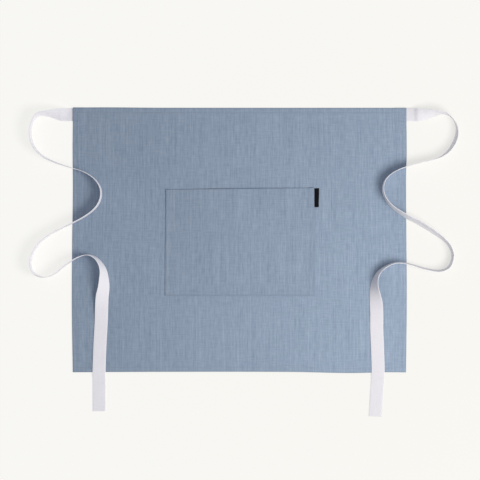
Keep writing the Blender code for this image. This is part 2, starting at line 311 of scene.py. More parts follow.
class Channel:
    """A value that varies over a surface: it wraps the socket that gives it and takes part in sums."""

    def __init__(self, recipe: "Recipe", socket: bpy.types.NodeSocket) -> None:
        """Wrap a socket of a recipe's tree."""
        self.recipe = recipe
        self.socket = socket

    def _sum(self, operation: str, *terms: "Term") -> "Channel":
        """Add a Math node.

        Args:
            operation: What it does.
            terms: What it does it to, in order.

        Returns:
            Its result.
        """
        made = self.recipe.node(
            "ShaderNodeMath", {"operation": operation}, {i: term for i, term in enumerate(terms)}
        )
        return Channel(self.recipe, made.outputs[0])

    def __add__(self, other: "Term") -> "Channel":
        """This plus the other."""
        return self._sum("ADD", self, other)

    def __radd__(self, other: float) -> "Channel":
        """The other plus this."""
        return self._sum("ADD", other, self)

    def __sub__(self, other: "Term") -> "Channel":
        """This less the other."""
        return self._sum("SUBTRACT", self, other)

    def __rsub__(self, other: float) -> "Channel":
        """The other less this."""
        return self._sum("SUBTRACT", other, self)

    def __mul__(self, other: "Term") -> "Channel":
        """This times the other."""
        return self._sum("MULTIPLY", self, other)

    def __rmul__(self, other: float) -> "Channel":
        """The other times this."""
        return self._sum("MULTIPLY", other, self)

    def __truediv__(self, other: "Term") -> "Channel":
        """This divided by the other."""
        return self._sum("DIVIDE", self, other)

    def __pow__(self, other: "Term") -> "Channel":
        """This to the power of the other."""
        return self._sum("POWER", self, other)

    def __abs__(self) -> "Channel":
        """This without its sign."""
        return self._sum("ABSOLUTE", self)

    def floor(self) -> "Channel":
        """The whole number below this."""
        return self._sum("FLOOR", self)

    def fraction(self) -> "Channel":
        """What is left of this above the whole number below it."""
        return self._sum("FRACT", self)

    def sine(self) -> "Channel":
        """The sine of this angle."""
        return self._sum("SINE", self)

    def between(self, low: float, high: float) -> "Channel":
        """Turn this into a share with a level start and end.

        Args:
            low: The share is 0 up to here.
            high: It is 1 from here on.

        Returns:
            The share.
        """
        made = self.recipe.node(
            "ShaderNodeMapRange",
            {"interpolation_type": "SMOOTHSTEP"},
            {"Value": self, "From Min": low, "From Max": high},
        )
        return Channel(self.recipe, made.outputs[0])


Term = Union[Channel, float]
Place = tuple[Channel, Channel]


class Recipe:
    """A material in the making."""

    def __init__(self, name: str) -> None:
        """Start a material with a plain surface shader.

        Args:
            name: The material's name.
        """
        self.material = bpy.data.materials.new(name)
        self.material.use_nodes = True
        self.tree = self.material.node_tree
        self.surface = self.tree.nodes["Principled BSDF"]

    def node(
        self,
        kind: str,
        settings: Optional[dict[str, object]] = None,
        sockets: Optional[dict[Union[str, int], object]] = None,
    ) -> bpy.types.Node:
        """Add any node.

        Args:
            kind: The node's type.
            settings: Its own settings, which are set first.
            sockets: A value or a channel for each socket, by name or number.

        Returns:
            The new node.
        """
        made = self.tree.nodes.new(kind)
        for name, value in (settings or {}).items():
            setattr(made, name, value)
        for name, value in (sockets or {}).items():
            self.feed(made.inputs[name], value)
        return made

    def feed(self, socket: bpy.types.NodeSocket, value: object) -> None:
        """Link a channel to a socket, or set a value on it.

        Args:
            socket: An input of a node in this recipe's tree.
            value: The channel or the value.
        """
        if isinstance(value, Channel):
            self.tree.links.new(value.socket, socket)
        else:
            socket.default_value = value

    def flat_place(self) -> Place:
        """Read where a point lay on its cloth before it was folded or bent.

        Returns:
            Its two coordinates, in metres.
        """
        found = self.node("ShaderNodeUVMap", {"uv_map": WEAVE_MAP})
        parts = self.node("ShaderNodeSeparateXYZ", None, {0: Channel(self, found.outputs[0])})
        return Channel(self, parts.outputs[0]), Channel(self, parts.outputs[1])

    def attribute(self, name: str) -> Channel:
        """A share stored on the mesh."""
        return Channel(self, self.node("ShaderNodeAttribute", {"attribute_name": name}).outputs["Fac"])

    def object_place(self) -> Channel:
        """The point in the object's own frame."""
        return Channel(self, self.node("ShaderNodeTexCoord").outputs["Object"])

    def cloud(self, place: Place, size: Pair, seed: float, detail: float = 0.0) -> Channel:
        """Soft noise about 0.

        Args:
            place: The two coordinates that it varies over.
            size: The length of a patch along each of them.
            seed: Which noise it is.
            detail: How many finer layers it has.

        Returns:
            A value from about -0.5 to 0.5.
        """
        x, y = place[0] / size[0], place[1] / size[1]
        point = self.node("ShaderNodeCombineXYZ", None, {0: x, 1: y, 2: seed})
        made = self.node(
            "ShaderNodeTexNoise",
            {"noise_dimensions": "3D"},
            {"Vector": Channel(self, point.outputs[0]), "Scale": 1.0, "Detail": detail, "Roughness": 0.55},
        )
        return Channel(self, made.outputs[0]) - 0.5

    def blend(self, share: Term, low: Union[Channel, Colour], high: Union[Channel, Colour]) -> Channel:
        """Mix two colours.

        Args:
            share: How much of the second, from 0 to 1.
            low: The first colour.
            high: The second colour.

        Returns:
            The colour between them.
        """
        made = self.node(
            "ShaderNodeMix",
            {"data_type": "RGBA"},
            {0: share, 6: self._full(low), 7: self._full(high)},
        )
        return Channel(self, made.outputs[2])

    def _full(self, colour: Union[Channel, Colour]) -> object:
        """A colour with its alpha, or the channel as it is."""
        return colour if isinstance(colour, Channel) else (*colour, 1.0)

    def raise_by(self, height: Channel, distance: float) -> None:
        """Tilt the surface as if it stood out by a height from 0 to 1, times a distance in metres."""
        made = self.node("ShaderNodeBump", None, {"Height": height, "Distance": distance, "Strength": 1.0})
        self.feed(self.surface.inputs["Normal"], Channel(self, made.outputs[0]))

    def finish(self, **values: object) -> bpy.types.Material:
        """Set the surface's own sockets and hand over the material.

        Args:
            values: A value or channel for each socket, with _ for a space in its name.

        Returns:
            The finished material.
        """
        for name, value in values.items():
            self.feed(self.surface.inputs[name.replace("_", " ")], value)
        return self.material


@dataclass(frozen=True)
class SlubLinen:
    """Washed linen in a plain weave, with uneven yarns that show as long and short streaks."""

    name: str
    deep: Colour
    pale: Colour
    seed: float
    # crease is the share of painted shade on the folded edges, and fold_shade is how dark that painted shade
    # is.
    crease: float
    yarn: float = 0.00088
    yarn_relief: float = 0.00012
    warp_streak: Pair = (0.0024, 0.021)
    weft_streak: Pair = (0.024, 0.0023)
    slub: Pair = (0.0030, 0.130)
    fading: Pair = (0.11, 0.15)
    fold_shade: float = 0.80

    def material(self) -> bpy.types.Material:
        """Mix the dyed yarns, weave them and paint shade along the folded edges.

        Returns:
            The finished material.
        """
        recipe = Recipe(self.name)
        place = recipe.flat_place()
        warp = recipe.cloud(place, self.warp_streak, self.seed, 2.0)
        weft = recipe.cloud(place, self.weft_streak, self.seed + 7.0, 2.0)
        slub = recipe.cloud(place, self.slub, self.seed + 13.0).between(0.14, 0.34)
        lost = recipe.cloud(place, self.slub, self.seed + 29.0).between(0.16, 0.36)
        broad = recipe.cloud(place, self.fading, self.seed + 41.0, 1.0)
        column, row = (along / self.yarn for along in place)
        over = (column.floor() * 0.5 + row.floor() * 0.5).fraction() * 2.0
        crown = (column.fraction() * math.pi).sine() * (row.fraction() * math.pi).sine()
        long_warp = recipe.cloud(place, self.slub, self.seed + 57.0, 1.0)
        tone = 0.5 + warp * 0.95 + long_warp * 0.70 + weft * 0.62 + slub * 0.17 - lost * 0.17 + broad * 0.16
        tone = tone + (over - 0.5) * 0.16 + (crown - 0.4) * 0.20
        colour = recipe.blend(tone, self.deep, self.pale)
        # Painted shade along the folded edges: the fold share darkens the colour towards a darker copy of the
        # deep dye.
        fold = recipe.attribute(FOLD_SHARE)
        shade = tuple(channel * self.fold_shade for channel in self.deep)
        yarns = crown * (0.75 + over * 0.25) + warp * 0.9 + weft * 0.6 + slub * 0.35
        recipe.raise_by(yarns, self.yarn_relief)
        return recipe.finish(
            Base_Color=recipe.blend(fold * self.crease, colour, shade),
            Roughness=0.86 - tone * 0.06,
            Specular_IOR_Level=0.25,
            Sheen_Weight=0.12,
            Sheen_Roughness=0.6,
        )


@dataclass(frozen=True)
class CottonTape:
    """White cotton twill tape: fine slanting ribs that turn back at the middle, firm selvedges painted paler
    as a highlight, and a tail that painted shade can grey.
    """

    name: str
    white: Colour
    shade: Colour
    width: float
    seed: float
    rib: float = 0.0011
    rib_relief: float = 0.00009
    selvedge: float = 0.0016
    smudge: Pair = (0.020, 0.009)
    fleck: Pair = (0.0035, 0.0007)
    # tail is the stretch along the tape where painted shade comes in, and the next field is how strong that
    # painted shade is.
    tail: Pair = (0.62, 0.78)
    tail_painted_shade: float = 0.0

    def material(self) -> bpy.types.Material:
        """Weave the ribs along the tape, tighten its edges and paint them paler as a highlight, and paint
        shade on the tail.

        Returns:
            The finished material.
        """
        recipe = Recipe(self.name)
        u, v = recipe.flat_place()
        middle = abs(v - self.width / 2)
        ribs = ((u + middle * 0.9) / self.rib * math.tau).sine() * 0.5 + 0.5
        yarn = ((v / self.rib * 1.6) * math.tau).sine() * 0.5 + 0.5
        edge = middle.between(self.width / 2 - self.selvedge, self.width / 2)
        cloud = recipe.cloud((u, v), self.smudge, self.seed, 2.0)
        fleck = recipe.cloud((u, v), self.fleck, self.seed + 2.0, 1.0)
        # edge * 0.30 paints the selvedges paler: a painted highlight for the lit top edge of the standing
        # tape.
        tone = 0.72 + cloud * 0.28 + fleck * 0.45 + (ribs - 0.5) * 0.28 + edge * 0.30
        # Painted shade greys the tail, to offset the stronger lamp light that falls on it.
        tone = tone - u.between(*self.tail) * self.tail_painted_shade
        recipe.raise_by(ribs * 0.7 + yarn * 0.3 + fleck * 0.5 - edge * 0.2, self.rib_relief)
        return recipe.finish(
            Base_Color=recipe.blend(tone, self.shade, self.white),
            Roughness=0.88 - cloud * 0.08,
            Specular_IOR_Level=0.25,
            Sheen_Weight=0.15,
            Sheen_Roughness=0.5,
        )


@dataclass(frozen=True)
class BlackTape:
    """Black woven tape with fine ribs across it."""

    name: str
    black: Colour
    worn: Colour
    rib: float = 0.00055
    rib_relief: float = 0.00007
    fleck: Pair = (0.0012, 0.0022)

    def material(self) -> bpy.types.Material:
        """Weave the ribs and wear the fold a little paler.

        Returns:
            The finished material.
        """
        recipe = Recipe(self.name)
        u, v = recipe.flat_place()
        ribs = (v / self.rib * math.tau).sine() * 0.5 + 0.5
        picks = (u / self.rib * 1.3 * math.tau).sine() * 0.5 + 0.5
        fleck = recipe.cloud((u, v), self.fleck, 8.0, 2.0)
        fold = recipe.attribute(FOLD_SHARE)
        tone = 0.25 + ribs * 0.15 + picks * 0.08 + fleck * 0.5 + fold * 0.45
        recipe.raise_by(ribs * 0.6 + picks * 0.4 + fleck * 0.4, self.rib_relief)
        return recipe.finish(
            Base_Color=recipe.blend(tone, self.black, self.worn),
            Roughness=0.62 + fleck * 0.2,
            Specular_IOR_Level=0.08,
        )


@dataclass(frozen=True)
class SewingThread:
    """Twisted sewing thread, close to the colour of its cloth."""

    name: str
    colour: Colour
    shade: Colour
    twist: float = 0.0007
    twist_relief: float = 0.00006
    fuzz: Pair = (0.006, 0.006)

    def material(self) -> bpy.types.Material:
        """Twist two plies round each other.

        Returns:
            The finished material.
        """
        recipe = Recipe(self.name)
        place = recipe.node("ShaderNodeSeparateXYZ", None, {0: recipe.object_place()})
        x, y, z = (Channel(recipe, output) for output in place.outputs)
        ply = ((x + y + z * 0.7) / self.twist * math.tau).sine() * 0.5 + 0.5
        fuzz = recipe.cloud((x, y), self.fuzz, 2.0, 2.0)
        recipe.raise_by(ply, self.twist_relief)
        return recipe.finish(
            Base_Color=recipe.blend(ply * 0.7 + fuzz * 0.5, self.shade, self.colour),
            Roughness=0.72 - ply * 0.1,
            Sheen_Weight=0.1,
        )


def make_piece(name: str, shape: bmesh.types.BMesh, material: bpy.types.Material) -> bpy.types.Object:
    """Turn a shape into a smooth object at the origin.

    Args:
        name: The piece's name.
        shape: Its surface, which is freed.
        material: Its finish.

    Returns:
        The new object.
    """
    mesh = bpy.data.meshes.new(name)
    shape.to_mesh(mesh)
    shape.free()
    mesh.shade_smooth()
    mesh.materials.append(material)
    piece = bpy.data.objects.new(name, mesh)
    bpy.context.scene.collection.objects.link(piece)
    return piece


def thicken(piece: bpy.types.Object, thickness: float, rounding: float = 0.0) -> None:
    """Give a sheet its wall, half to each side.

    Args:
        piece: The sheet.
        thickness: How thick it gets.
        rounding: How far its cut edges are rounded, or 0 to leave them.
    """
    wall = piece.modifiers.new("wall", "SOLIDIFY")
    wall.thickness = thickness
    wall.offset = 0.0
    if rounding:
        edge = piece.modifiers.new("rounding", "BEVEL")
        edge.width = rounding
        edge.segments = 2
        edge.limit_method = "ANGLE"
        edge.angle_limit = math.radians(50.0)


class Line(NamedTuple):
    """A line drawn across a cloth before it is folded.

    place is where it comes to lie, drop how far it lies below the cloth's face, inset its distance from the
    folded edge if it is on a turned part, and cut its place on the flat cloth.
    """

    place: float
    drop: float
    inset: float
    cut: float
    turned: bool


@dataclass(frozen=True)
class Hem:
    """A doubled hem: width shows behind, and the raw edge is tucked back inside it by turned_in."""

    width: float
    turned_in: float
    fold_steps: int = 6
    flat_steps: int = 3

    def outline(self, layer: float) -> list[tuple[float, float]]:
        """Follow the cloth round the hem.

        Args:
            layer: How far apart the middles of its layers lie.

        Returns:
            The inset and the drop of each line, from just past the face to the raw edge.
        """
        inner = layer / 2
        reach = self.width - inner
        back = self.width - self.turned_in
        turns = [math.pi * step / self.fold_steps for step in range(1, self.fold_steps + 1)]
        shares = [step / self.flat_steps for step in range(1, self.flat_steps + 1)]
        points = [(layer - layer * math.sin(turn), layer - layer * math.cos(turn)) for turn in turns]
        points += [(layer + (reach - layer) * share, 2 * layer) for share in shares]
        points += [
            (reach + inner * math.sin(turn), 2 * layer - inner + inner * math.cos(turn)) for turn in turns
        ]
        points += [(reach + (back - reach) * share, layer) for share in shares]
        return points

    def lines(self, layer: float, length: float, at_end: bool) -> list[Line]:
        """Draw the hem's lines.

        Args:
            layer: How far apart the middles of its layers lie.
            length: The finished length of the cloth across the hem.
            at_end: True at the far end of that length.

        Returns:
            The lines in order from the face to the raw edge.
        """
        drawn = []
        before = (layer, 0.0)
        cut = layer
        for point in self.outline(layer):
            cut -= math.dist(before, point)
            before = point
            inset, drop = point
            place = length - inset if at_end else inset
            drawn.append(Line(place, drop, inset, length - cut if at_end else cut, True))
        return drawn


NARROW_HEM = Hem(0.010, 0.0075)


@dataclass
class HemmedCloth:
    """A rectangle of cloth whose four edges are turned under in doubled hems, mitred at the corners."""

    name: str
    width: float
    height: float
    thickness: float
    layer: float
    spacing: float
    left: Hem
    right: Hem
    bottom: Hem
    top: Hem
    near_lines: tuple[float, ...]
    columns_wanted: tuple[float, ...] = ()
    rows_wanted: tuple[float, ...] = ()
    hem_marks: tuple[float, ...] = (-0.0023, -0.0013, -0.0003, 0.0012, 0.003)
    mitre_run: float = 0.030
    fold_reach: float = 0.0024

    def face_point(self, along: float, across: float) -> Vector:
        """Where a point of the face's layer lies, along from the left edge and across from the bottom one."""
        raise NotImplementedError

    def top_point(self, along: float, across: float) -> Vector:
        """Where a point on top of the face lies."""
        return self.face_point(along, across) + Vector((0.0, 0.0, self.thickness / 2))

    def face_places(self, length: float, start: Hem, end: Hem, wanted: tuple[float, ...]) -> list[float]:
        """Choose the places of the lines on the face.

        Args:
            length: The finished length across the lines.
            start: The hem at the near end.
            end: The hem at the far end.
            wanted: Places inside the face that need a line of their own.

        Returns:
            The places from one rim of the face to the other, closer together by the hems.
        """
        low, high = (
            sorted({self.layer, *self.near_lines, *(hem.width + mark for mark in self.hem_marks)})
            for hem in (start, end)
        )
        stops = [low[-1], *sorted(wanted), length - high[-1]]
        middle = []
        for before, after in zip(stops, stops[1:]):
            steps = math.ceil((after - before) / self.spacing)
            middle += [before + (after - before) * step / steps for step in range(1, steps + 1)]
        return low + middle[:-1] + [length - place for place in reversed(high)]

    def lines(self, length: float, start: Hem, end: Hem, wanted: tuple[float, ...]) -> list[Line]:
        """Draw all lines across one direction.

        Args:
            length: The finished length across the lines.
            start: The hem at the near end.
            end: The hem at the far end.
            wanted: Places inside the face that need a line of their own.

        Returns:
            The lines in order from raw edge to raw edge.
        """
        before = start.lines(self.layer, length, False)
        face = [Line(place, 0.0, 0.0, place, False) for place in self.face_places(length, start, end, wanted)]
        return before[::-1] + face + end.lines(self.layer, length, True)

    def columns(self) -> list[Line]:
        """The lines from the left raw edge to the right one."""
        return self.lines(self.width, self.left, self.right, self.columns_wanted)

    def rows(self) -> list[Line]:
        """The lines from the lower raw edge to the upper one."""
        return self.lines(self.height, self.bottom, self.top, self.rows_wanted)

    def mitred(self, place: float, length: float, inset: float) -> float:
        """Draw a turned strip in at its ends.

        Args:
            place: A place along the strip.
            length: The strip's whole length.
            inset: How far the point lies from the folded edge.

        Returns:
            The place moved so that the strip's ends lie at 45 degrees.
        """
        near = min(place, length - place)
        if near >= self.mitre_run:
            return place
        drawn = inset + (near - self.layer) * (self.mitre_run - inset) / (self.mitre_run - self.layer)
        return drawn if place < length / 2 else length - drawn

    def cut_size(self) -> tuple[float, float]:
        """The width and length of the cloth as it is cut, with its hems."""
        columns, rows = self.columns(), self.rows()
        return columns[-1].cut - columns[0].cut, rows[-1].cut - rows[0].cut

    def build(self, material: bpy.types.Material) -> bpy.types.Object:
        """Fold the cloth and give it its wall.

        Args:
            material: Its finish.

        Returns:
            The finished piece.
        """
        columns, rows = self.columns(), self.rows()
        shape = bmesh.new()
        bmesh.ops.create_grid(shape, x_segments=len(columns) - 1, y_segments=len(rows) - 1, size=0.5)
        weave = shape.loops.layers.uv.new(WEAVE_MAP)
        fold = shape.verts.layers.float.new(FOLD_SHARE)
        crossing = {
            vertex: (
                columns[round((vertex.co.x + 0.5) * (len(columns) - 1))],
                rows[round((vertex.co.y + 0.5) * (len(rows) - 1))],
            )
            for vertex in shape.verts
        }
        spare = []
        for face in shape.faces:
            found = [crossing[vertex] for vertex in face.verts]
            if any(column.turned for column, _ in found) and any(row.turned for _, row in found):
                spare.append(face)
            for loop in face.loops:
                column, row = crossing[loop.vert]
                loop[weave].uv = (column.cut, row.cut)
        for vertex, (column, row) in crossing.items():
            along = self.mitred(column.place, self.width, row.inset) if row.turned else column.place
            across = self.mitred(row.place, self.height, column.inset) if column.turned else row.place
            vertex.co = self.face_point(along, across) - Vector((0.0, 0.0, column.drop + row.drop))
            edge = min(along, self.width - along, across, self.height - across)
            # The fold share marks where the linen gets painted shade along its folded edges.
            vertex[fold] = ridge(edge, self.fold_reach)
        bmesh.ops.delete(shape, geom=spare, context="FACES")
        bmesh.ops.remove_doubles(shape, verts=shape.verts, dist=1e-5)
        piece = make_piece(self.name, shape, material)
        thicken(piece, self.thickness)
        return piece


@dataclass
class Panel(HemmedCloth):
    """The apron's panel, which lies on its hems and on the sewn ends of the ties."""

    name: str = "panel_cloth"
    width: float = 0.650
    height: float = 0.514
    thickness: float = 0.00056
    layer: float = 0.00060
    spacing: float = 0.0042
    left: Hem = NARROW_HEM
    right: Hem = NARROW_HEM
    bottom: Hem = NARROW_HEM
    top: Hem = NARROW_HEM
    near_lines: tuple[float, ...] = (0.002, 0.0035, 0.0055, 0.0165, 0.020, 0.024)
    face_top: float = 0.00100
    hem_rise: float = 0.00078
    hem_run: float = 0.012
    corner_bulk: float = 0.00035
    stitch_inset: float = 0.0088
    stitch_dip: float = 0.00030
    stitch_reach: float = 0.0023
    ripple: float = 0.00014
    ripple_long: float = 0.085
    ripple_short: float = 0.034
    ripple_pressed: float = 0.7
    pucker: float = 0.00009
    pucker_step: float = 0.0068
    pucker_reach: float = 0.009
    drape_run: float = 0.004
    seam_sides: Pair = (0.1817, 0.4707)
    seam_bottom: float = 0.1495
    seam_top: float = 0.3565
    seam_pull: float = 0.00022
    seam_reach: float = 0.0034
    seam_marks: tuple[float, ...] = (-1.0, -0.6, -0.25, 0.25, 0.6, 1.0)
    mound: float = 0.0007
    mound_fall: float = 0.046
    mound_margin: float = 0.045

    def __post_init__(self) -> None:
        """Ask for close lines along the pocket's seams."""
        steps = [self.seam_reach * mark for mark in self.seam_marks]
        self.columns_wanted = tuple(side + step for side in self.seam_sides for step in steps)
        self.rows_wanted = tuple(self.seam_bottom + step for step in steps)

    def seam_groove(self, along: float, across: float) -> float:
        """How much the pocket's seams pull the panel down.

        Args:
            along: The distance from the panel's left edge.
            across: The distance from its bottom edge.

        Returns:
            1 on the side and bottom seams, falling to 0 at their reach.
        """
        left, right = self.seam_sides
        inside = left - self.seam_reach < along < right + self.seam_reach
        bottom = ridge(across - self.seam_bottom, self.seam_reach) if inside else 0.0
        beside = ramp(self.seam_bottom - across, 0.0, self.seam_reach)
        beside *= ramp(across - self.seam_top, 0.0, self.seam_reach)
        side = max(ridge(along - place, self.seam_reach) for place in self.seam_sides)
        return max(bottom, side * beside)

    def mouth_mound(self, along: float, across: float) -> float:
        """How much the panel is bunched up under the pocket's mouth.

        Args:
            along: The distance from the panel's left edge.
            across: The distance from its bottom edge.

        Returns:
            1 under the middle of the mouth, falling to 0 clear of it.
        """
        left, right = self.seam_sides
        sideways = ease((along - left) / self.mound_margin) * ease((right - along) / self.mound_margin)
        below = ease((across - self.seam_bottom) / (self.seam_top - self.seam_bottom))
        return sideways * below * ramp(across - self.seam_top, 0.0, self.mound_fall)

    def over_tie(self, side: float, top: float) -> float:
        """How far a point lies over the sewn end of a tie.

        Args:
            side: Its distance from the panel's nearer side edge.
            top: Its distance from the top edge.

        Returns:
            1 over the tie, falling to 0 clear of it.
        """
        sideways = ramp(side, TIE_TUCK + CLEARANCE, self.drape_run)
        return sideways * ramp(top, TIE_INSET + TIE_WIDTH + CLEARANCE, self.drape_run)

    def relief(self, along: float, across: float) -> float:
        """The height of the face above the table.

        Args:
            along: The distance from the panel's left edge.
            across: The distance from its bottom edge.

        Returns:
            The height, from the hems, tie ends, seams, stitches and ripples.
        """
        side = min(along, self.width - along)
        top = self.height - across
        end = min(across, top)
        past = self.left.width + self.drape_run / 4
        hems = [ramp(distance, past, self.hem_run) for distance in (side, end)]
        rise = self.hem_rise * (hems[0] + hems[1] - hems[0] * hems[1])
        by_side, by_end = (ramp(distance, self.left.width, self.drape_run) for distance in (side, end))
        bulk = self.corner_bulk * by_side * by_end
        tie = (TIE_THICKNESS + CLEARANCE) * self.over_tie(side, top)
        dips = [ridge(distance - self.stitch_inset, self.stitch_reach) for distance in (side, end)]
        near = [ridge(distance - self.stitch_inset, self.pucker_reach) for distance in (side, end)]
        puckers = waver(across, 0.0, self.pucker_step, 1.0 + (along > self.width / 2)) * near[0]
        puckers += waver(along, 0.0, self.pucker_step, 3.0 + (across > self.height / 2)) * near[1]
        ripples = waver(along, across, self.ripple_long, 7.0)
        ripples += 0.5 * waver(along, across, self.ripple_short, 9.0)
        ripples *= 1.0 - self.ripple_pressed * max(hems)
        height = self.face_top + rise + bulk + tie + self.mound * self.mouth_mound(along, across)
        height -= self.stitch_dip * max(dips) + self.seam_pull * self.seam_groove(along, across)
        return height + self.pucker * puckers + self.ripple * ripples

    def outline_point(self, along: float, across: float) -> Vector:
        """Place a point in plan, with the edges as crooked as they lie.

        Args:
            along: Its distance from the panel's left edge.
            across: Its distance from the bottom edge.

        Returns:
            The point, at no height.
        """
        share_along = along / self.width
        share_across = across / self.height
        sideways = share_along * curve_at(RIGHT_BOW, share_across)
        sideways -= (1.0 - share_along) * curve_at(LEFT_BOW, share_across)
        upwards = share_across * curve_at(TOP_BOW, share_along)
        upwards -= (1.0 - share_across) * curve_at(BOTTOM_BOW, share_along)
        x = (share_along - 0.5) * (self.width - self.thickness) + sideways * self.height
        y = (share_across - 0.5) * (self.height - self.thickness) + upwards * self.height
        return Vector((x, y, 0.0))

    def face_point(self, along: float, across: float) -> Vector:
        """Where a point of the face's layer lies.

        Args:
            along: Its distance from the panel's left edge.
            across: Its distance from the bottom edge.

        Returns:
            The point in the frame.
        """
        point = self.outline_point(along, across)
        point.z = self.relief(along, across) - self.thickness / 2
        return point

    def back_point(self, along: float, across: float) -> Vector:
        """Where a point on the back of a hem lies."""
        down = self.thickness / 2 + 2 * self.layer
        return self.face_point(along, across) - Vector((0.0, 0.0, down))

    def height_at(self, x: float, y: float) -> float:
        """The height of the face above the table at a place in the frame."""
        return self.relief(x + self.width / 2, y + self.height / 2)


@dataclass
class Pocket(HemmedCloth):
    """The patch pocket, sewn down along its sides and bottom and standing a little off the panel."""

    name: str = "pocket_cloth"
    width: float = 0.2905
    height: float = 0.2080
    thickness: float = 0.00048
    layer: float = 0.00052
    spacing: float = 0.0034
    left: Hem = NARROW_HEM
    right: Hem = NARROW_HEM
    bottom: Hem = NARROW_HEM
    top: Hem = Hem(0.0235, 0.0080)
    near_lines: tuple[float, ...] = (0.0013, 0.0020, 0.0027, 0.0042, 0.0065, 0.0155, 0.019)
    drop: float = 0.1575
    aside: float = 0.0012
    swell: float = 0.0015
    margin_groove: float = 0.00022
    groove_offset: float = 0.001
    groove_reach: float = 0.003
    hem_step: float = 0.00065
    hem_run: float = 0.0036
    edge_stitch: float = 0.0020
    hem_stitch: float = 0.0222
    stitch_dip: float = 0.00012
    stitch_reach: float = 0.0012
    corner_lift: float = 0.0008
    corner_full: float = 0.003
    corner_run: Pair = (0.022, 0.034)
    wave: float = 0.00010
    wave_step: float = 0.055
    wave_margin: float = 0.03
    pucker: float = 0.00006
    pucker_step: float = 0.0055
    pucker_reach: float = 0.008
    tab_clear: float = 0.0012
    tab_rise: float = 0.00150
    tab_run: float = 0.007
    panel: Panel = field(default_factory=Panel)

    def mouth(self) -> float:
        """The place of the mouth's middle along the panel's height, in the frame."""
        return self.panel.height / 2 - self.drop

    def shift(self, share_across: float, share_up: float) -> Vector:
        """How far the crooked corners move a point.

        Args:
            share_across: Its place across the pocket, as a share of the width.
            share_up: Its place up the pocket, as a share of the height.

        Returns:
            The shift in plan.
        """
        moved = Vector((0.0, 0.0))
        for corner, weight in (
            (POCKET_TOP_LEFT, (1.0 - share_across) * share_up),
            (POCKET_TOP_RIGHT, share_across * share_up),
            (POCKET_BOTTOM_LEFT, (1.0 - share_across) * (1.0 - share_up)),
            (POCKET_BOTTOM_RIGHT, share_across * (1.0 - share_up)),
        ):
            moved += weight * Vector((corner.across * self.width, corner.up * self.height))
        return moved

    def lift(self, along: float, across: float) -> float:
        """How far the face's layer stands above the panel's face.

        Args:
            along: The distance from the pocket's left edge.
            across: The distance from its bottom edge.

        Returns:
            The height, from the turnings, the swell, the tab, the stitches and small waves.
        """
        right = self.width - along
        below = self.height - across
        side = min(along, right, across)
        share = along / self.width
        swell = curve_at(SWELL_BELOW_MOUTH, below / self.height) * curve_at(SWELL_ACROSS, share)
        over_tab = ramp(right, TAB_ROOT + TAB_SLANT + self.tab_clear, self.tab_run)
        over_tab *= ramp(below, TAB_DROP + TAB_LENGTH + self.tab_clear, self.tab_run)
        edge = self.margin_groove * ridge(side - self.left.width - self.groove_offset, self.groove_reach)
        hem = self.hem_step * ease((below - self.top.width + self.hem_run / 2) / self.hem_run)
        by_stitch = (side - self.edge_stitch, below - self.hem_stitch)
        seam = self.stitch_dip * max(ridge(distance, self.stitch_reach) for distance in by_stitch)
        corner = self.corner_lift * ramp(along, 0.0, self.corner_run[0])
        corner *= ramp(below, self.corner_full, self.corner_run[1])
        wave = self.wave * waver(along, across, self.wave_step, 17.0) * ease(side / self.wave_margin)
        pucker = self.pucker * waver(along + across, 0.0, self.pucker_step, 19.0)
        pucker *= ridge(side - self.edge_stitch, self.pucker_reach)
        stack = REST + self.thickness / 2 + 2 * self.layer
        height = stack + self.swell * swell + self.tab_rise * over_tab + corner
        return height - edge - hem * ease(side / self.left.width) - seam + wave + pucker

    def face_point(self, along: float, across: float) -> Vector:
        """Where a point of the face's layer lies.

        Args:
            along: Its distance from the pocket's left edge.
            across: Its distance from the bottom edge.

        Returns:
            The point in the frame.
        """
        share_along = along / self.width
        share_across = across / self.height
        moved = self.shift(share_along, share_across)
        x = self.aside + (share_along - 0.5) * (self.width - self.thickness) + moved.x
        rim = self.mouth() - self.thickness / 2
        y = rim - (1.0 - share_across) * (self.height - self.thickness) + moved.y
        return Vector((x, y, self.panel.height_at(x, y) + self.lift(along, across)))

    def right_seam(self) -> Vector:
        """The right end of the mouth, in the frame."""
        return self.face_point(self.width, self.height)


